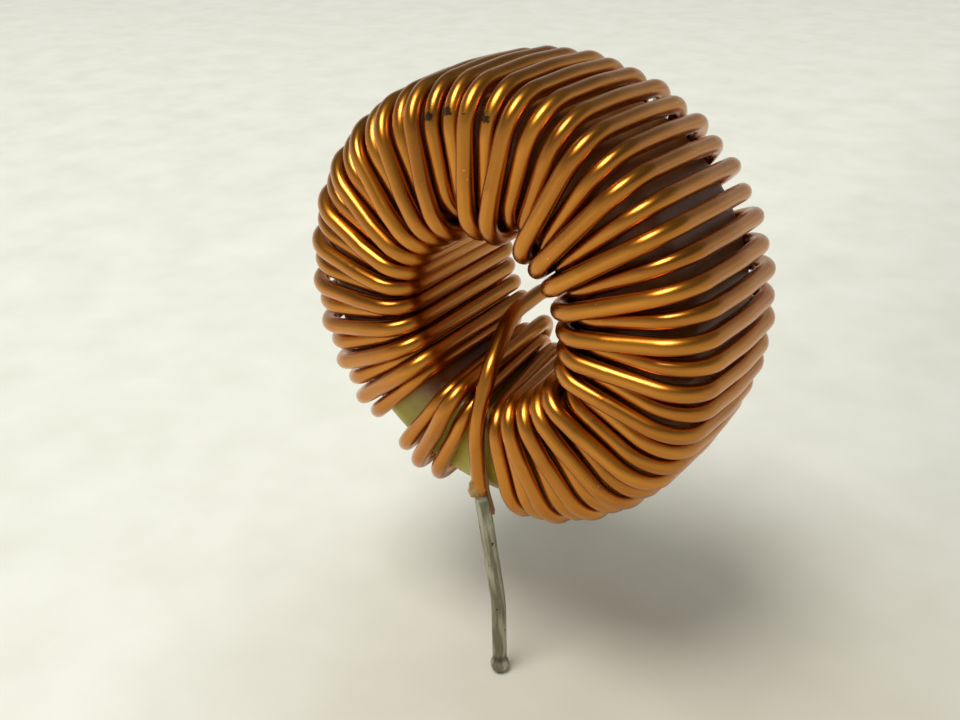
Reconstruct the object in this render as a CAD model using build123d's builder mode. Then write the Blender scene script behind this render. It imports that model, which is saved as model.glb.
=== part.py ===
"""Toroidal inductor: enamelled copper wire wound round a coated iron-powder ring, on two tinned leads.

Millimetres, +Z up. The ring stands on edge with its axis along Y and its front face towards -Y.
The two leads reach down to z = 0, the board, and the origin is the middle of the outline there.
"""

import os
from math import cos, pi, radians, sin

from build123d import *

# Ring centre in the part's frame
CENTRE_X = 0.0
CENTRE_Y = -4.0
CENTRE_Z = 27.9

# Core: an iron-powder ring under a thin coating, with its edges well rounded for the wire
CORE_OUTER_R = 13.3
CORE_BORE_R = 7.25
CORE_HALF_HEIGHT = 5.2
CORE_OUTER_EDGE_R = 1.6
CORE_BORE_EDGE_R = 1.2

# Wire and the solder on its stripped ends
ENAMELLED_D = 1.10
COPPER_D = 1.00
TINNED_D = 1.08
SOLDER_DROP_D = 1.36
COPPER_FOOT = 0.3

# Winding: where the turns sit on the rim
TURNS = 54
FIRST_TURNS = 3
FIRST_ANGLE = 251.0
FIRST_STEP = 6.6
MAIN_ANGLE = 225.0
MAIN_STEP = 6.1
RIM_LEAN = 3.0

# Winding: in the bore the turns lie in two layers, and now and then two lower ones lie side by side
LOWER_PAIR_STARTS = (2, 23, 28, 43, 52)
LAYER_STEP = 5.74
PAIR_STEP = 9.7
BORE_OFFSET = 1.0
SETTLING_ROUNDS = 400

# Winding: by the leads the turns slant in the bore, so that their back ends close the open slot there
FIRST_BORE_SHIFTS = (7.0, 5.8, 4.4)
FIRST_SLANTS = (10.0, 7.8, 5.6)
LAST_SLANTED_TURNS = 8
LAST_SLANT = 17.0

# Winding: the corners of one turn, as radius from the ring's axis and distance from its mid plane
LOWER_BORE = (6.66, 5.86)
UPPER_BORE = (5.70, 6.82)
FACE_R = 9.0
LOWER_FACE_Y = 5.92
UPPER_FACE_Y = 6.74
RIM_EDGE = (14.25, 5.95)
RIM_MIDDLE_R = 14.55

# Bend radii along one turn
BORE_BEND = 1.9
FACE_BEND = 6.0
EDGE_BEND = 2.8
RIM_BEND = 20.0

# Leads, from the ring's centre: each point and the bend radius there, from the foot up to the winding.
# The enamel stops at the point named the end, and the wire is bare copper under solder below it.
LEAD_FOOT_Z = COPPER_FOOT - CENTRE_Z
BACK_STRIPPED = (((-4.6, 14.6, LEAD_FOOT_Z), 0), ((-4.6, 14.6, -20.9), 5.0))
BACK_END = (-3.54, 7.27, -13.39)
BACK_LEAD = (((-3.4, 6.3, -12.4), 3.0),)
FRONT_STRIPPED = (((0.95, -5.9, LEAD_FOOT_Z), 0), ((0.95, -5.9, -21.6), 12.0))
FRONT_END = (-0.2985, -5.9, -12.7)
FRONT_LEAD = (
    ((-0.45, -5.9, -11.62), 4.0),
    ((-0.32, -6.4, -7.4), 6.0),
    ((-0.3, -4.7, -3.9), 3.4),
    ((-1.2, -0.8, -1.75), 6.0),
    ((-1.3, 3.9, -1.6), 4.0),
    ((0.1, 7.3, -3.0), 2.6),
    ((0.3, 8.0, -6.3), 2.6),
    ((0.6, 7.5, -11.6), 3.0),
)


def rim_angles():
    """Angle of each turn at the front edge of the rim, with one open slot after the first few turns."""
    angles = []
    for turn in range(TURNS):
        if turn < FIRST_TURNS:
            angles.append(FIRST_ANGLE - FIRST_STEP * turn)
            continue
        along = turn - FIRST_TURNS
        phase = 2 * pi * along / (TURNS - FIRST_TURNS)
        drift = 1.5 * sin(phase) - 0.7 * (cos(phase) - 1)
        drift += 1.6 * (cos(2 * phase) - 1) - 0.2 * sin(2 * phase)
        angles.append(MAIN_ANGLE - MAIN_STEP * along + drift)
    return angles


def upper_layer_flags():
    """True for each turn that lies in the upper layer in the bore."""
    flags = []
    upper = False
    for turn in range(TURNS):
        flags.append(upper)
        upper = turn not in LOWER_PAIR_STARTS and not upper
    return flags


def bore_angles(rims, uppers):
    """Angle of each turn in the bore: neighbours push each other aside until all have room."""
    angles = [angle + BORE_OFFSET for angle in rims]
    for _ in range(SETTLING_ROUNDS):
        for turn in range(TURNS - 1):
            side_by_side = not uppers[turn] and not uppers[turn + 1]
            room = PAIR_STEP if side_by_side else LAYER_STEP
            short = room - (angles[turn] - angles[turn + 1])
            if short > 0:
                angles[turn] += short / 2
                angles[turn + 1] -= short / 2
    return angles


def bore_slant(turn):
    """How far a turn's back end in the bore lies behind its front end, in degrees."""
    if turn < FIRST_TURNS:
        return FIRST_SLANTS[turn]
    unslanted = TURNS - LAST_SLANTED_TURNS
    return LAST_SLANT * max(0, turn + 1 - unslanted) / LAST_SLANTED_TURNS


def from_centre(x, y, z):
    return (CENTRE_X + x, CENTRE_Y + y, CENTRE_Z + z)


def on_ring(radius, angle, y):
    """Point at a radius and angle round the ring's axis, y along it."""
    return from_centre(radius * cos(radians(angle)), y, radius * sin(radians(angle)))


def enamelled_route():
    """Corner points and bend radii of the enamelled wire, from the back lead's end to the front lead's."""
    rims = rim_angles()
    uppers = upper_layer_flags()
    legs = bore_angles(rims, uppers)
    for turn, shift in enumerate(FIRST_BORE_SHIFTS):
        legs[turn] += shift
    back_legs = [legs[turn] - bore_slant(turn) for turn in range(TURNS)]
    edge_r, edge_y = RIM_EDGE
    corners = [(from_centre(*BACK_END), 0)]
    corners += [(from_centre(*point), bend) for point, bend in BACK_LEAD]
    for turn in range(TURNS):
        leg, rim = legs[turn], rims[turn]
        bore_r, bore_y = UPPER_BORE if uppers[turn] else LOWER_BORE
        face_y = UPPER_FACE_Y if uppers[turn] else LOWER_FACE_Y
        corners += [
            (on_ring(bore_r, back_legs[turn], bore_y), BORE_BEND),
            (on_ring(bore_r, leg, -bore_y), BORE_BEND),
            (on_ring(FACE_R, 0.6 * leg + 0.4 * rim, -face_y), FACE_BEND),
            (on_ring(edge_r, rim, -edge_y), EDGE_BEND),
            (on_ring(RIM_MIDDLE_R, rim - RIM_LEAN / 2, 0), RIM_BEND),
            (on_ring(edge_r, rim - RIM_LEAN, edge_y), EDGE_BEND),
        ]
        if turn < TURNS - 1:
            back_angle = 0.6 * back_legs[turn + 1] + 0.4 * (rim - RIM_LEAN)
            back_y = UPPER_FACE_Y if uppers[turn + 1] else LOWER_FACE_Y
            corners.append((on_ring(FACE_R, back_angle, back_y), FACE_BEND))
    corners += [(from_centre(*point), bend) for point, bend in reversed(FRONT_LEAD)]
    corners.append((from_centre(*FRONT_END), 0))
    return corners


def bent_line(corners):
    """Straight runs through the corners, joined by tangent arcs of the given radii."""
    points = [point for point, _ in corners]
    bends = [bend for _, bend in corners[1:-1]]
    with BuildLine() as line:
        FilletPolyline(*points, radius=bends)
    return line.wires()[0]


def start_plane(path):
    return Plane(origin=path @ 0, z_dir=path % 0)


# Core: one section with rounded edges, turned about the ring's axis
with BuildPart() as core:
    with BuildSketch(Plane.XY.offset(CENTRE_Z)) as core_section:
        with Locations((CENTRE_X + (CORE_OUTER_R + CORE_BORE_R) / 2, CENTRE_Y)):
            Rectangle(CORE_OUTER_R - CORE_BORE_R, 2 * CORE_HALF_HEIGHT)
        fillet(core_section.vertices().group_by(Axis.X)[-1], CORE_OUTER_EDGE_R)
        fillet(core_section.vertices().group_by(Axis.X)[0], CORE_BORE_EDGE_R)
    revolve(axis=Axis((CENTRE_X, CENTRE_Y, CENTRE_Z), (0, 1, 0)))
core.part.label = "core"

# Lines of the wire: the enamelled length, and a stripped length down to each foot
enamelled_line = bent_line(enamelled_route())
stripped_lines = []
for stripped, end in ((BACK_STRIPPED, BACK_END), (FRONT_STRIPPED, FRONT_END)):
    corners = [(from_centre(*point), bend) for point, bend in stripped]
    stripped_lines.append(bent_line(corners + [(from_centre(*end), 0)]))

def wire_along(line, diameter):
    with BuildPart() as wire:
        with BuildSketch(start_plane(line)):
            Circle(diameter / 2)
        sweep(path=line)
    return wire.part


# Winding: the enamelled wire and its two bare ends, which touch it end to end
enamelled_wire = wire_along(enamelled_line, ENAMELLED_D)
bare_ends = [wire_along(line, COPPER_D) for line in stripped_lines]
winding = Compound(label="winding", children=[enamelled_wire, *bare_ends])


def solder_coat(line, name):
    """Thin coat on a stripped end, with a rounded drop where it was dipped last."""
    foot = line @ 0
    with BuildPart() as coat:
        with BuildSketch(start_plane(line)):
            Circle(TINNED_D / 2)
        sweep(path=line)
        with Locations((foot.X, foot.Y, SOLDER_DROP_D / 2)):
            Sphere(SOLDER_DROP_D / 2)
        with BuildSketch(start_plane(line)):
            Circle(COPPER_D / 2)
        sweep(path=line, mode=Mode.SUBTRACT)
    coat.part.label = name
    return coat


back_solder = solder_coat(stripped_lines[0], "back_lead_solder")
front_solder = solder_coat(stripped_lines[1], "front_lead_solder")

section = pi * (ENAMELLED_D / 2) ** 2
print(f"enamelled wire: {enamelled_line.length:.1f} mm long, volume {enamelled_wire.volume:.1f} mm3,")
print(f"section times length {section * enamelled_line.length:.1f} mm3")

os.makedirs("parts", exist_ok=True)
export_step(core.part, "parts/core.step")
export_step(winding, "parts/winding.step")
export_step(back_solder.part, "parts/back_lead_solder.step")
export_step(front_solder.part, "parts/front_lead_solder.step")
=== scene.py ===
# %% [markdown]
# # A toroidal inductor
# This lesson gives a looks model to a small electronic part: a ring of pressed iron powder, wound
# with one length of enamelled copper wire, standing on its two tinned leads. The sizes come from
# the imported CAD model. The object has no moving parts, so every piece rides on the body called
# root.

# %% Set-up
import math

import bmesh
import bpy
from mathutils import Matrix, Vector, noise


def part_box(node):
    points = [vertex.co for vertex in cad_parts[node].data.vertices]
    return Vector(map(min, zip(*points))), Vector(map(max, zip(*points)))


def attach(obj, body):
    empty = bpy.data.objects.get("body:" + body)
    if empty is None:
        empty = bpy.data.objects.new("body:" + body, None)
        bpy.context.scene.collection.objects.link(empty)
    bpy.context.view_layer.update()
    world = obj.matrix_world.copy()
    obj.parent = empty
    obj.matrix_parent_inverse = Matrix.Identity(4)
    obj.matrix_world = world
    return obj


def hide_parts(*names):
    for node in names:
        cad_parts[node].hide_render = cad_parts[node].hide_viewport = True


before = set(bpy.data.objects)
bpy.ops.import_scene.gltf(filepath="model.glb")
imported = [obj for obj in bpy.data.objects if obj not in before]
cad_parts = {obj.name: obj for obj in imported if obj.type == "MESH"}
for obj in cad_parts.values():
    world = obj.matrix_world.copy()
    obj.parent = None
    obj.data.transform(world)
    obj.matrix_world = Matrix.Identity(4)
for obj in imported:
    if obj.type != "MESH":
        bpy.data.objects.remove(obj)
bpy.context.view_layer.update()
MM = 0.001


# %% [markdown]
# ## Where things are
# The CAD core is a ring whose axis lies along Y, so the middle of its box is the ring's centre. All
# the wire's points are counted from there, in millimetres, which keeps the numbers easy to read.

# %% The ring's centre
core_low, core_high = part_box("core")
CENTRE = (core_low + core_high) / 2 / MM
FOOT_Z = -CENTRE.z
print("ring centre in mm:", [round(v, 2) for v in CENTRE])
print("core outer radius in mm:", round((core_high.x - core_low.x) / 2 / MM, 2))

# %% [markdown]
# ## The wire's route
# The real wire was wound by hand, one turn after another, round the ring. It could be drawn as a
# curve by hand or as a plain spiral. A plain spiral looks machine made, and 54 turns don't fit side
# by side in the bore: every other turn has to climb on its neighbours. So the route follows that
# rule. Each turn has an angle on the rim, a layer in the bore, and a place in the bore found by
# letting neighbours push each other aside until all have room. Angles are in degrees, from +X
# towards +Z.

# %% Angles on the rim
TURNS = 54
FIRST_TURNS = 3
FIRST_RIM_ANGLE, FIRST_PITCH = 251.0, 6.6
NEXT_RIM_ANGLE, NEXT_PITCH = 225.0, 6.1


def rim_angles():
    """Angle of each turn at the front edge of the rim, with an open slot after the first few."""
    angles = [FIRST_RIM_ANGLE - FIRST_PITCH * turn for turn in range(FIRST_TURNS)]
    for along in range(TURNS - FIRST_TURNS):
        phase = 2 * math.pi * along / (TURNS - FIRST_TURNS)
        # Hand winding is uneven, so the spacing drifts slowly round the ring
        drift = 1.5 * math.sin(phase) - 0.7 * (math.cos(phase) - 1)
        drift += 1.6 * (math.cos(2 * phase) - 1) - 0.2 * math.sin(2 * phase)
        angles.append(NEXT_RIM_ANGLE - NEXT_PITCH * along + drift)
    return angles


rims = rim_angles()
print(f"{TURNS} turns, from {rims[0]:.0f} to {rims[-1]:.0f} degrees on the rim")

# %% Layers and angles in the bore
LOWER_PAIR_STARTS = (2, 23, 28, 43, 52)
ROOM_BESIDE_UPPER, ROOM_BETWEEN_LOWER = 5.74, 9.7
BORE_AHEAD = 1.0
PUSHES = 400
FIRST_SHIFTS = (7.0, 5.8, 4.4)


def upper_layer_flags():
    """True for each turn that lies in the upper layer in the bore."""
    flags = [False]
    for turn in range(TURNS - 1):
        flags.append(turn not in LOWER_PAIR_STARTS and not flags[-1])
    return flags


def bore_angles():
    """Angle of each turn in the bore, after neighbours have pushed each other aside."""
    angles = [angle + BORE_AHEAD for angle in rims]
    for _ in range(PUSHES):
        for turn in range(TURNS - 1):
            beside_upper = uppers[turn] or uppers[turn + 1]
            room = ROOM_BESIDE_UPPER if beside_upper else ROOM_BETWEEN_LOWER
            short = room - (angles[turn] - angles[turn + 1])
            if short > 0:
                angles[turn] += short / 2
                angles[turn + 1] -= short / 2
    for turn, shift in enumerate(FIRST_SHIFTS):
        angles[turn] += shift
    return angles


uppers = upper_layer_flags()
legs = bore_angles()
print(f"{sum(uppers)} turns in the upper layer of the bore")

# %% Slant in the bore
FIRST_SLANTS = (10.0, 7.8, 5.6)
LAST_SLANT, LAST_SLANTED_TURNS = 17.0, 8


def bore_slant(turn):
    """How far a turn's back end in the bore lies behind its front end, for turns near the leads."""
    if turn < FIRST_TURNS:
        return FIRST_SLANTS[turn]
    slanted = max(0, turn + 1 + LAST_SLANTED_TURNS - TURNS)
    return LAST_SLANT * slanted / LAST_SLANTED_TURNS


back_legs = [legs[turn] - bore_slant(turn) for turn in range(TURNS)]
print(f"{sum(bore_slant(turn) > 0 for turn in range(TURNS))} turns slant in the bore")

# %% [markdown]
# ## Corners of the route
# One turn runs through the bore, out over the front face, back along the rim and in over the back
# face. A handful of corner points with a bend radius at each describes it well, just as a wire is
# bent by hand: straight runs between round bends. The two leads are described the same way.

# %% Corners of one turn
LOWER_BORE_R, UPPER_BORE_R, BORE_BEND = 6.66, 5.70, 1.9
LOWER_BORE_Y, UPPER_BORE_Y = 5.86, 6.82
FACE_R, LOWER_FACE_Y, UPPER_FACE_Y, FACE_BEND = 9.0, 5.92, 6.74, 6.0
FACE_SHARE = 0.6
RIM_EDGE_R, RIM_EDGE_Y, RIM_EDGE_BEND = 14.25, 5.95, 2.8
RIM_MIDDLE_R, RIM_MIDDLE_BEND = 14.55, 20.0
LEAN = 3.0


def on_ring(radius, angle, y):
    turned = math.radians(angle)
    return (radius * math.cos(turned), y, radius * math.sin(turned))


def face_corner(leg, rim, upper, side):
    """The corner on a flat face, between bore and rim; side is -1 in front and 1 behind."""
    angle = FACE_SHARE * leg + (1 - FACE_SHARE) * rim
    return (on_ring(FACE_R, angle, side * (UPPER_FACE_Y if upper else LOWER_FACE_Y)), FACE_BEND)


def turn_corners(turn):
    """The corners of one turn, from the back of the bore round to the back of the bore again."""
    rim, upper = rims[turn], uppers[turn]
    bore_r = UPPER_BORE_R if upper else LOWER_BORE_R
    bore_y = UPPER_BORE_Y if upper else LOWER_BORE_Y
    corners = [
        (on_ring(bore_r, back_legs[turn], bore_y), BORE_BEND),
        (on_ring(bore_r, legs[turn], -bore_y), BORE_BEND),
        face_corner(legs[turn], rim, upper, -1),
        (on_ring(RIM_EDGE_R, rim, -RIM_EDGE_Y), RIM_EDGE_BEND),
        (on_ring(RIM_MIDDLE_R, rim - LEAN / 2, 0), RIM_MIDDLE_BEND),
        (on_ring(RIM_EDGE_R, rim - LEAN, RIM_EDGE_Y), RIM_EDGE_BEND),
    ]
    if turn < TURNS - 1:
        corners.append(face_corner(back_legs[turn + 1], rim - LEAN, uppers[turn + 1], 1))
    return corners


print("one turn has", len(turn_corners(0)), "corners")

# %% Corners of the leads
BACK_STRIPPED = [((-4.6, 14.6, FOOT_Z), 0), ((-4.6, 14.6, -20.9), 5.0)]
BACK_END = ((-3.54, 7.27, -13.39), 0)
BACK_LEAD = [((-3.4, 6.3, -12.4), 3.0)]
FRONT_STRIPPED = [((0.95, -5.9, FOOT_Z), 0), ((0.95, -5.9, -21.6), 12.0)]
FRONT_END = ((-0.2985, -5.9, -12.7), 0)
FRONT_LEAD = [
    ((0.6, 7.5, -11.6), 3.0),
    ((0.3, 8.0, -6.3), 2.6),
    ((0.1, 7.3, -3.0), 2.6),
    ((-1.3, 3.9, -1.6), 4.0),
    ((-1.2, -0.8, -1.75), 6.0),
    ((-0.3, -4.7, -3.9), 3.4),
    ((-0.32, -6.4, -7.4), 6.0),
    ((-0.45, -5.9, -11.62), 4.0),
]

winding_corners = [BACK_END] + BACK_LEAD
for turn in range(TURNS):
    winding_corners += turn_corners(turn)
winding_corners += FRONT_LEAD + [FRONT_END]
print(f"the winding's route has {len(winding_corners)} corners")

# %% [markdown]
# ## From corners to a smooth line
# Each corner is replaced by points on an arc that touches both straight runs. The points lie close
# together in the bends, where the wire curves, and further apart on the straight runs, where few
# are needed.

# %% Rounding the corners
BEND_STEP, STRAIGHT_STEP = 0.3, 1.1


def arc_points(before, corner, after, radius):
    """Points on the arc of that radius that touches both straight runs at a corner."""
    into = (corner - before).normalized()
    away = (after - corner).normalized()
    bend = into.angle(away)
    centre = corner + (away - into).normalized() * radius / math.cos(bend / 2)
    first = corner - into * radius * math.tan(bend / 2) - centre
    axis = into.cross(away)
    count = max(3, math.ceil(radius * bend / BEND_STEP))
    return [centre + Matrix.Rotation(bend * k / count, 3, axis) @ first for k in range(count + 1)]


def with_straights(points, step):
    """The same line with extra points on its long straight runs."""
    line = [points[0]]
    for point in points[1:]:
        start, gap = line[-1], (point - line[-1]).length
        extra = int(gap / step)
        line += [start.lerp(point, k / (extra + 1)) for k in range(1, extra + 1)]
        line.append(point)
    return line


def smooth_line(corners, step=STRAIGHT_STEP):
    points = [Vector(point) for point, _ in corners]
    line = [points[0]]
    for k in range(1, len(points) - 1):
        line += arc_points(points[k - 1], points[k], points[k + 1], corners[k][1])
    return with_straights(line + [points[-1]], step)


winding_line = smooth_line(winding_corners)
winding_length = sum((b - a).length for a, b in zip(winding_line, winding_line[1:]))
print(f"{len(winding_line)} points, {winding_length:.0f} mm of enamelled wire")

# %% [markdown]
# ## A tube along a line
# Wire is a round section drawn along a line. A curve object with a bevel does this, keeps the
# section from twisting, and can be turned into a mesh. Two values are stored on every vertex for
# the finish: how far along the wire it is, and which side of the wire it is on. The finish can then
# run with the wire.

# %% Drawing a section along a line
SIDES = 20


def linked(name, mesh):
    """A new object with that mesh, in the scene."""
    piece = bpy.data.objects.new(name, mesh)
    bpy.context.scene.collection.objects.link(piece)
    return piece


def drawn(name, line, thickness=None, tilt=0.0, **section):
    """A mesh drawn along points in mm from the ring's centre, each with its own thickness."""
    curve = bpy.data.curves.new(name + "_line", "CURVE")
    curve.dimensions = "3D"
    curve.use_fill_caps = True
    for setting, value in section.items():
        setattr(curve, setting, value)
    spline = curve.splines.new("POLY")
    spline.points.add(len(line) - 1)
    for k, point in enumerate(line):
        spline.points[k].co = (*((CENTRE + point) * MM), 1)
        spline.points[k].radius = thickness[k] if thickness else 1
        spline.points[k].tilt = tilt
    holder = linked(name + "_line", curve)
    depsgraph = bpy.context.evaluated_depsgraph_get()
    mesh = bpy.data.meshes.new_from_object(holder.evaluated_get(depsgraph))
    bpy.data.objects.remove(holder)
    mesh.name = name
    return linked(name, mesh)


def tube(name, line, radius, thickness=None):
    sections = SIDES // 2 - 2
    return drawn(name, line, thickness, bevel_depth=radius * MM, bevel_resolution=sections)


print(f"tubes have {SIDES} sides")

# %% Closing and marking a tube
MERGE_DISTANCE = 0.0001


def close_up(piece):
    """Joins doubled vertices, turns normals outward and shades the mesh smooth."""
    work = bmesh.new()
    work.from_mesh(piece.data)
    bmesh.ops.remove_doubles(work, verts=work.verts, dist=MERGE_DISTANCE * MM)
    bmesh.ops.recalc_face_normals(work, faces=work.faces)
    open_edges = sum(1 for edge in work.edges if not edge.is_manifold)
    work.to_mesh(piece.data)
    work.free()
    piece.data.shade_smooth()
    print(f"{piece.name}: {len(piece.data.polygons)} faces, {open_edges} open edges")


def mark_along(piece, line):
    """Stores (distance along in mm, cosine, sine of the angle round the wire) on each vertex."""
    marks = piece.data.attributes.new("wire", "FLOAT_VECTOR", "POINT")
    along = 0.0
    for ring, point in enumerate(line):
        if ring:
            along += (point - line[ring - 1]).length
        for side in range(SIDES):
            angle = 2 * math.pi * side / SIDES
            marks.data[ring * SIDES + side].vector = (along, math.cos(angle), math.sin(angle))


print("vertices closer than", MERGE_DISTANCE, "mm are joined")

# %% The enamelled wire
WIRE_RADIUS = 0.55

winding = tube("winding_wire", winding_line, WIRE_RADIUS)
mark_along(winding, winding_line)
close_up(winding)
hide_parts("winding")
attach(winding, "root")

# %% [markdown]
# ## The tinned leads
# The enamel was scraped off the ends, and these were dipped in solder, which left a thin uneven
# coat and a rounded drop at each tip. The same tube serves, with its thickness varied: a round drop
# first, then a coat that swells and thins a little along the lead.

# %% Lead pieces
TINNED_RADIUS = 0.54
COPPER_RADIUS = 0.50
THICKEST_TIN = 0.035
DROP_RADIUS = 0.68
DROP_HALF_ROUND, DROP_RINGS = 20, 16
COAT_FROM = 0.5
LEAD_STEP = 0.25
TIP_RADIUS = 0.02
TIN_WAVINESS = 1.1
LEAST_GAP = 0.05


def lead_radius(point, height):
    """Radius of a tinned lead at a height above its foot: the drop, then the uneven coat."""
    drop = math.sqrt(max(0.0, DROP_RADIUS**2 - (height - DROP_RADIUS) ** 2))
    uneven = 0.5 + 0.5 * noise.noise(Vector((point.x, point.y, height * TIN_WAVINESS)))
    coat = COPPER_RADIUS + THICKEST_TIN * uneven if height > COAT_FROM else 0
    return max(drop, coat, TIP_RADIUS)


def lead(name, corners, node):
    line = smooth_line(corners, LEAD_STEP)
    foot = line[0]
    angles = [math.pi * k / DROP_HALF_ROUND for k in range(DROP_RINGS)]
    drop_line = [foot + Vector((0, 0, DROP_RADIUS * (1 - math.cos(angle)))) for angle in angles]
    line = drop_line + [point for point in line if point.z > drop_line[-1].z + LEAST_GAP]
    sizes = [lead_radius(point, point.z - foot.z) / TINNED_RADIUS for point in line]
    piece = tube(name, line, TINNED_RADIUS, sizes)
    mark_along(piece, line)
    close_up(piece)
    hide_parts(node)
    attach(piece, "root")
    return piece


front_lead = lead("front_lead_tinned", FRONT_STRIPPED + [FRONT_END], "front_lead_solder")
back_lead = lead("back_lead_tinned", BACK_STRIPPED + [BACK_END], "back_lead_solder")

# %% [markdown]
# ## Flux and a peeled strip of enamel
# Where the enamel ends, a small bead of hardened flux clings to the front lead, and a sliver of
# enamel that was scraped loose still stands beside the wire. The bead is a subdivided ball pushed
# in and out by noise. The sliver is a flat ribbon along a short curve.

# %% Flux bead
BEAD_CENTRE = Vector((-0.62, -6.02, -12.35))
BEAD_SIZE = Vector((0.58, 0.62, 0.72))
LUMP_DEPTH, LUMP_SCALE = 0.22, 1.6
LUMP_SHIFT = Vector((3, 0, 0))

work = bmesh.new()
bmesh.ops.create_icosphere(work, subdivisions=5, radius=1)
for vertex in work.verts:
    lump = 1 + LUMP_DEPTH * noise.noise(vertex.co * LUMP_SCALE + LUMP_SHIFT)
    vertex.co = (CENTRE + BEAD_CENTRE + vertex.co * BEAD_SIZE * lump) * MM
mesh = bpy.data.meshes.new("flux_bead")
work.to_mesh(mesh)
work.free()
mesh.shade_smooth()
bead = linked("flux_bead", mesh)
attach(bead, "root")
print(f"{bead.name}: {len(mesh.polygons)} faces")

# %% Peeled strip
STRIP_CORNERS = [
    ((0.05, -6.10, -8.2), 0),
    ((0.10, -6.05, -10.2), 3.0),
    ((0.28, -5.92, -12.4), 3.0),
    ((0.55, -5.75, -13.9), 0.4),
    ((0.62, -5.95, -14.1), 0),
]
STRIP_STEP, STRIP_TILT = 0.3, 0.5
STRIP_HALF_WIDTH, STRIP_HALF_THICKNESS = 0.09, 0.03

strip = drawn(
    "enamel_strip",
    smooth_line(STRIP_CORNERS, STRIP_STEP),
    tilt=STRIP_TILT,
    extrude=STRIP_HALF_WIDTH * MM,
    bevel_depth=STRIP_HALF_THICKNESS * MM,
    bevel_resolution=2,
)
close_up(strip)
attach(strip, "root")

# %% [markdown]
# ## Finishes
# Enamelled copper is bright metal under a clear amber lacquer. It could be one flat orange, but the
# lacquer varies in depth along the wire, has fine ripples where the wire was bent, small dark chips
# and some dust. A node group gives those patterns; the shader with its fixed values stays in the
# material. The helpers below keep each pattern down to a line or two.

# %% Node helpers
def new_group(name, outputs, inputs=()):
    group = bpy.data.node_groups.new(name, "ShaderNodeTree")
    for title, kind in outputs:
        group.interface.new_socket(title, in_out="OUTPUT", socket_type=kind)
    for title, kind in inputs:
        group.interface.new_socket(title, in_out="INPUT", socket_type=kind)
    return group


def add(tree, kind, inputs=None, **settings):
    """A new node; each input is given a value or, where it is a socket, a link."""
    node = tree.nodes.new(kind)
    for setting, value in settings.items():
        setattr(node, setting, value)
    for key, value in (inputs or {}).items():
        if isinstance(value, bpy.types.NodeSocket):
            tree.links.new(value, node.inputs[key])
        else:
            node.inputs[key].default_value = value
    return node


def scaled(tree, vector, scale):
    """The vector times three numbers."""
    node = add(tree, "ShaderNodeVectorMath", {0: vector, 1: scale}, operation="MULTIPLY")
    return node.outputs[0]


def worked(tree, operation, first, second):
    return add(tree, "ShaderNodeMath", {0: first, 1: second}, operation=operation).outputs[0]


def times(tree, first, second):
    return worked(tree, "MULTIPLY", first, second)


def ranged(tree, value, low, high, to_low=0.0, to_high=1.0):
    """The value moved from one range to another, and held inside it."""
    node = add(tree, "ShaderNodeMapRange", {0: value, 1: low, 2: high, 3: to_low, 4: to_high})
    return node.outputs[0]


def mixed(tree, factor, first, second):
    node = add(tree, "ShaderNodeMix", {0: factor, 6: first, 7: second}, data_type="RGBA")
    return node.outputs[2]


print("number and colour helpers ready")

# %% Pattern and material helpers
def object_place(tree):
    return add(tree, "ShaderNodeTexCoord").outputs["Object"]


def part_of(tree, vector, axis):
    return add(tree, "ShaderNodeSeparateXYZ", {0: vector}).outputs[axis]


def distance_from(tree, place, spot):
    node = add(tree, "ShaderNodeVectorMath", {0: place, 1: spot}, operation="DISTANCE")
    return node.outputs["Value"]


def cloud(tree, vector, scale, detail):
    """Soft noise between 0 and 1."""
    given = {"Vector": vector, "Scale": scale, "Detail": detail}
    return add(tree, "ShaderNodeTexNoise", given).outputs[0]


def bumped(tree, height, strength, distance, under=None):
    """A normal bent by a height; the distance is in mm, and under is a normal to start from."""
    given = {"Height": height, "Strength": strength, "Distance": distance * MM}
    if under is not None:
        given["Normal"] = under
    return add(tree, "ShaderNodeBump", given).outputs[0]


def material(name):
    made = bpy.data.materials.new(name)
    made.use_nodes = True
    return made, made.node_tree, made.node_tree.nodes["Principled BSDF"]


def dress(piece, finish):
    piece.data.materials.clear()
    piece.data.materials.append(finish)


print("pattern and material helpers ready")

# %% Materials with a group of patterns
PATTERN_OUTPUTS = [
    ("Colour", "NodeSocketColor"),
    ("Roughness", "NodeSocketFloat"),
    ("Normal", "NodeSocketVector"),
]


def patterned(name, patterns):
    """A material whose colour, roughness and normal come from a group of patterns."""
    made, tree, shader = material(name)
    group = add(tree, "ShaderNodeGroup", node_tree=patterns)
    tree.links.new(group.outputs["Colour"], shader.inputs["Base Color"])
    tree.links.new(group.outputs["Roughness"], shader.inputs["Roughness"])
    tree.links.new(group.outputs["Normal"], shader.inputs["Normal"])
    return made, shader


print("a pattern group gives", ", ".join(title for title, _ in PATTERN_OUTPUTS))

# %% [markdown]
# The chips sit one on each of a few neighbouring turns, at the top of the front face where that
# face turns into the rim. A chip could be a texture of its own, but a ball of noise round a point
# on the wire gives the same ragged mark with three nodes.

# %% Chips in the enamel
CHIPPED_FROM, CHIPPED_TO = 83, 106
CHIP_R, CHIP_Y = 13.0, -6.12
CHIP_COLOUR = (0.03, 0.012, 0.005, 1)


def with_chips(tree, place, colour):
    ragged = cloud(tree, place, 5.0 / MM, 2.0)
    for turn in range(TURNS):
        if CHIPPED_FROM < rims[turn] < CHIPPED_TO:
            spot = CENTRE + Vector(on_ring(CHIP_R - 0.1 * (turn % 3), rims[turn], CHIP_Y))
            reach = times(tree, distance_from(tree, place, spot * MM), ragged)
            chip = ranged(tree, reach, 0.12 * MM, 0.16 * MM, 0.9, 0)
            colour = mixed(tree, chip, colour, CHIP_COLOUR)
    return colour


print(sum(CHIPPED_FROM < rim < CHIPPED_TO for rim in rims), "turns are chipped")

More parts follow.
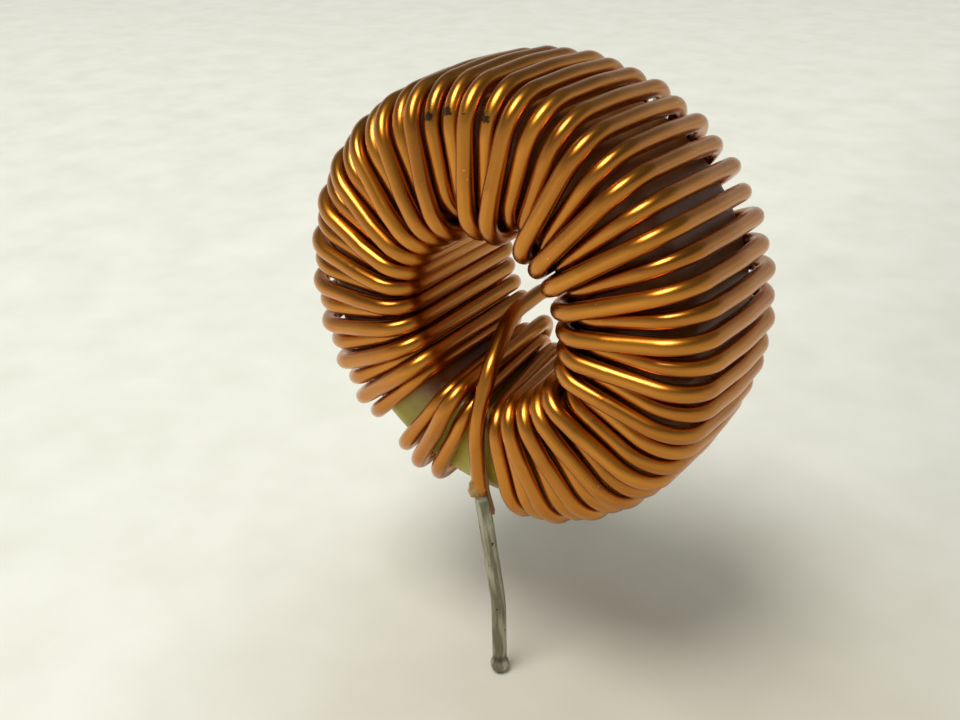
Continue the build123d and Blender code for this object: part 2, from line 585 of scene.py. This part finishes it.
# %% Enamel patterns
THIN_LACQUER = (0.62, 0.235, 0.018, 1)
DEEP_LACQUER = (0.46, 0.155, 0.009, 1)
DUST_COLOUR = (0.75, 0.66, 0.45, 1)


def enamel_patterns():
    group = new_group("enamel_patterns", PATTERN_OUTPUTS)
    wire = add(group, "ShaderNodeAttribute", attribute_name="wire").outputs["Vector"]
    place = object_place(group)
    # The lacquer's depth changes slowly along the wire
    depth = cloud(group, scaled(group, wire, (0.16, 0.5, 0.5)), 1.0, 2.0)
    colour = mixed(group, ranged(group, depth, 0.3, 0.7), DEEP_LACQUER, THIN_LACQUER)
    colour = with_chips(group, place, colour)
    # Dust: sparse pale grains
    grains = add(group, "ShaderNodeTexVoronoi", {"Vector": place, "Scale": 0.85 / MM})
    dust = ranged(group, grains.outputs["Distance"], 0.035, 0.055, 1, 0)
    colour = mixed(group, times(group, dust, 0.55), colour, DUST_COLOUR)
    # Fine ripples and shallow waves
    ripples = cloud(group, scaled(group, wire, (2.2, 0.3, 0.3)), 1.0, 3.0)
    waves = cloud(group, scaled(group, wire, (0.45, 1.2, 1.2)), 1.0, 2.0)
    normal = bumped(group, waves, 0.12, 0.25, bumped(group, ripples, 0.06, 0.10))
    rough = ranged(group, depth, 0.3, 0.7, 0.26, 0.33)
    add(group, "NodeGroupOutput", {"Colour": colour, "Roughness": rough, "Normal": normal})
    return group


print("lacquer from", DEEP_LACQUER[:3], "to", THIN_LACQUER[:3])

# %% Enamelled copper
enamel, shader = patterned("enamelled_copper", enamel_patterns())
shader.inputs["Metallic"].default_value = 1.0
shader.inputs["Coat Weight"].default_value = 0.5
shader.inputs["Coat Roughness"].default_value = 0.2
shader.inputs["Coat IOR"].default_value = 1.5
dress(winding, enamel)
print("enamelled copper on", winding.name)

# %% [markdown]
# The solder is old and dull: grey with a green cast, darker streaks that run along the lead, and a
# dark ring just above the drop. The streaks follow the wire, so the stored distance drives them.

# %% Solder
DARK_SOLDER = (0.20, 0.19, 0.13, 1)
PALE_SOLDER = (0.42, 0.41, 0.31, 1)
SPOT_COLOUR = (0.05, 0.045, 0.035, 1)
RING_COLOUR = (0.05, 0.045, 0.04, 1)


def solder_patterns():
    group = new_group("solder_patterns", PATTERN_OUTPUTS)
    wire = add(group, "ShaderNodeAttribute", attribute_name="wire").outputs["Vector"]
    place = object_place(group)
    streak = cloud(group, scaled(group, wire, (0.35, 1.6, 1.6)), 1.0, 3.0)
    colour = mixed(group, ranged(group, streak, 0.42, 0.62), DARK_SOLDER, PALE_SOLDER)
    spots = cloud(group, place, 2.4 / MM, 2.0)
    colour = mixed(group, ranged(group, spots, 0.66, 0.74), colour, SPOT_COLOUR)
    height = part_of(group, place, 2)
    above = ranged(group, height, 1.0 * MM, 1.25 * MM)
    below = ranged(group, height, 1.5 * MM, 1.8 * MM, 1, 0)
    ring = times(group, times(group, above, below), 0.7)
    colour = mixed(group, ring, colour, RING_COLOUR)
    rough = ranged(group, streak, 0.4, 0.65, 0.55, 0.35)
    normal = bumped(group, streak, 0.3, 0.15)
    add(group, "NodeGroupOutput", {"Colour": colour, "Roughness": rough, "Normal": normal})
    return group


solder, shader = patterned("solder", solder_patterns())
shader.inputs["Metallic"].default_value = 0.8
dress(front_lead, solder)
dress(back_lead, solder)
print("solder on", front_lead.name, "and", back_lead.name)

# %% [markdown]
# Coating, flux and loose enamel are all mottled: two near colours mixed by soft noise. One group
# makes the mottle, and each material places it with its own scale and colours.

# %% Mottle
MOTTLE_INPUTS = [
    ("Scale", "NodeSocketFloat"),
    ("Detail", "NodeSocketFloat"),
    ("Low", "NodeSocketFloat"),
    ("High", "NodeSocketFloat"),
    ("First", "NodeSocketColor"),
    ("Second", "NodeSocketColor"),
]


def mottle_pattern():
    group = new_group("mottle", [("Colour", "NodeSocketColor")], MOTTLE_INPUTS)
    given = add(group, "NodeGroupInput").outputs
    clouds = cloud(group, object_place(group), given["Scale"], given["Detail"])
    part = ranged(group, clouds, given["Low"], given["High"])
    add(group, "NodeGroupOutput", {"Colour": mixed(group, part, given["First"], given["Second"])})
    return group


mottle = mottle_pattern()


def mottled(tree, scale, detail, low, high, first, second):
    values = (scale, detail, low, high, first, second)
    given = {title: value for (title, _), value in zip(MOTTLE_INPUTS, values)}
    return add(tree, "ShaderNodeGroup", given, node_tree=mottle).outputs["Colour"]


print("mottle takes", ", ".join(title for title, _ in MOTTLE_INPUTS))

# %% [markdown]
# The core's coating is a thick paint, olive yellow where it shows near the leads. Further up it
# is painted dark brown: painted shade in the gaps between the turns and painted copper light
# reflected from the wire. Little of it shows between the turns, but it has to be the right colour
# there. The CAD ring is kept and given this finish.

# %% Core coating
# Heights from the ring's centre, in mm, over which the olive turns into the painted shade
PAINTED_SHADE_FROM, PAINTED_SHADE_TO = -8.5, -6.5
OLIVE_TONES = (0.40, 0.32, 0.02, 1), (0.55, 0.46, 0.04, 1)
PAINTED_SHADE_TONES = (0.17, 0.050, 0.004, 1), (0.25, 0.085, 0.008, 1)

coating, tree, shader = material("core_coating")
yellow = mottled(tree, 0.5 / MM, 3.0, 0.35, 0.65, *OLIVE_TONES)
# Painted shade and painted copper reflection: dark brown over the coating above the leads
painted_shade_brown = mottled(tree, 0.5 / MM, 3.0, 0.35, 0.65, *PAINTED_SHADE_TONES)
height = part_of(tree, object_place(tree), 2)
painted_shade_share = ranged(tree, height, (CENTRE.z + PAINTED_SHADE_FROM) * MM, (CENTRE.z + PAINTED_SHADE_TO) * MM)
tree.links.new(mixed(tree, painted_shade_share, yellow, painted_shade_brown), shader.inputs["Base Color"])
shader.inputs["Roughness"].default_value = 0.4
dress(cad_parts["core"], coating)
print("coating on the core")

# %% [markdown]
# Flux is a clear brittle resin the colour of honey, so it lets some light through. The loose sliver
# is bare lacquer with no metal under it, so it is darker and duller than the wire.

# %% Flux and loose enamel
HONEY_TONES = (0.78, 0.56, 0.22, 1), (0.55, 0.30, 0.06, 1)
UMBER_TONES = (0.10, 0.028, 0.005, 1), (0.22, 0.07, 0.013, 1)

flux, tree, shader = material("flux")
honey = mottled(tree, 2.2 / MM, 3.0, 0.35, 0.6, *HONEY_TONES)
tree.links.new(honey, shader.inputs["Base Color"])
shader.inputs["Roughness"].default_value = 0.18
shader.inputs["Transmission Weight"].default_value = 0.5
dress(bead, flux)

loose, tree, shader = material("loose_enamel")
umber = mottled(tree, 1.5 / MM, 2.0, 0.0, 1.0, *UMBER_TONES)
tree.links.new(umber, shader.inputs["Base Color"])
shader.inputs["Roughness"].default_value = 0.35
dress(strip, loose)
print("flux on", bead.name, "and loose enamel on", strip.name)

# %% [markdown]
# ## The stage
# The object stands on a sheet of pale packing foam. Its faint cells are a bump pattern on a large
# plane, and painted shade darkens it towards +X. Near the leads it has a painted shadow, tinted by
# painted warm light reflected from the wire above.

# %% Foam floor
FLOOR_HALF_SIZE = 3.0

work = bmesh.new()
bmesh.ops.create_grid(work, x_segments=2, y_segments=2, size=FLOOR_HALF_SIZE)
mesh = bpy.data.meshes.new("floor")
work.to_mesh(mesh)
work.free()
floor = linked("floor", mesh)
print("floor laid,", 2 * FLOOR_HALF_SIZE, "m across")

# %% Foam finish
FOAM = (0.80, 0.80, 0.73, 1)
FOAM_CELL = (0.76, 0.76, 0.69, 1)
FOAM_CLOUD = (0.83, 0.83, 0.77, 1)
# Colour and centre, in metres, of the painted shadow with painted warm light from the wire
PAINTED_SHADOW_AND_BOUNCE, PAINTED_SHADOW_SPOT = (0.42, 0.34, 0.20, 1), (0.014, -0.010, 0.0)
# Black, mixed into the foam as painted shade
PAINTED_FALLOFF_SHADE = (0.0, 0.0, 0.0, 1)

foam, tree, shader = material("foam")
place = object_place(tree)
given = {"Vector": place, "Scale": 0.28 / MM}
cells = add(tree, "ShaderNodeTexVoronoi", given, feature="SMOOTH_F1").outputs["Distance"]
fuzz = cloud(tree, place, 0.11 / MM, 4.0)
tone = mixed(tree, ranged(tree, cells, 0.0, 0.8), FOAM, FOAM_CELL)
tone = mixed(tree, ranged(tree, fuzz, 0.35, 0.7), tone, FOAM_CLOUD)
# Painted shade: the foam darkens towards +X
painted_falloff_shade = ranged(tree, part_of(tree, place, 0), -20 * MM, 25 * MM, 0.0, 0.20)
tone = mixed(tree, painted_falloff_shade, tone, PAINTED_FALLOFF_SHADE)
# Painted shadow and painted warm light reflected from the wire, round a spot near the leads
painted_shadow_and_bounce = ranged(tree, distance_from(tree, place, PAINTED_SHADOW_SPOT), 6 * MM, 42 * MM, 0.42, 0.0)
tone = mixed(tree, painted_shadow_and_bounce, tone, PAINTED_SHADOW_AND_BOUNCE)
tree.links.new(tone, shader.inputs["Base Color"])
normal = bumped(tree, fuzz, 0.08, 1.0, bumped(tree, cells, 0.22, 0.5))
tree.links.new(normal, shader.inputs["Normal"])
shader.inputs["Roughness"].default_value = 0.8
shader.inputs["Specular IOR Level"].default_value = 0.2
dress(floor, foam)
print("foam on the floor")

# %% [markdown]
# ## Light and camera
# One large soft light stands high in front, as in a small light tent, and gives each turn a bright
# line. A dim sky, brighter overhead, fills the shadows. Where it is seen, directly or mirrored in
# the metal, it is pale like the floor at the horizon and darker overhead. The camera looks down at
# the ring from the right.

# %% Key light
KEY_DIRECTION = Vector((-0.07, -0.40, 1.0)).normalized()
KEY_DISTANCE, KEY_SIZE, KEY_WATTS = 1000, 480, 7.3
KEY_COLOUR = (1.0, 0.985, 0.93)

data = bpy.data.lights.new("key", "AREA")
data.shape = "DISK"
data.size = KEY_SIZE * MM
data.energy = KEY_WATTS
data.color = KEY_COLOUR
lamp = linked("key", data)
lamp.location = (CENTRE + KEY_DIRECTION * KEY_DISTANCE) * MM
lamp.rotation_euler = KEY_DIRECTION.to_track_quat("Z", "Y").to_euler()
print(f"key: {KEY_WATTS} W, {KEY_SIZE} mm across, {KEY_DISTANCE} mm away")

# %% Sky
world = bpy.data.worlds.new("sky")
world.use_nodes = True
tree = world.node_tree
direction = add(tree, "ShaderNodeTexCoord").outputs["Generated"]
upward = part_of(tree, direction, 2)
paths = add(tree, "ShaderNodeLightPath").outputs
seen = worked(tree, "MAXIMUM", paths["Is Camera Ray"], paths["Is Glossy Ray"])
seen = worked(tree, "MAXIMUM", seen, paths["Is Transmission Ray"])
sky_light = ranged(tree, upward, 0.1, 1.0, 0.05, 0.78)
backdrop = ranged(tree, upward, 0.15, 0.6, 0.62, 0.12)
strength = add(tree, "ShaderNodeMix", {0: seen, 2: sky_light, 3: backdrop}).outputs[0]
background = tree.nodes["Background"]
background.inputs["Color"].default_value = (0.98, 1.0, 0.96, 1)
tree.links.new(strength, background.inputs["Strength"])
bpy.context.scene.world = world
print("sky made")

# %% Camera
CAMERA_PLACE = Vector((33.52, -57.43, 55.88)) * MM
CAMERA_AIM = Vector((-4.33, -4.0, 21.51)) * MM
CAMERA_LENS, CAMERA_ROLL = 39.4, -1.406

data = bpy.data.cameras.new("camera")
data.lens = CAMERA_LENS
data.clip_start = 0.001
data.clip_end = 20
camera = linked("camera", data)
camera.location = CAMERA_PLACE
look = (CAMERA_PLACE - CAMERA_AIM).to_track_quat("Z", "Y").to_matrix()
roll = Matrix.Rotation(math.radians(CAMERA_ROLL), 3, "Z")
camera.rotation_euler = (look @ roll).to_euler()
bpy.context.scene.camera = camera
bpy.context.scene.view_settings.view_transform = "Standard"
print("camera at", [round(v / MM, 1) for v in camera.location])
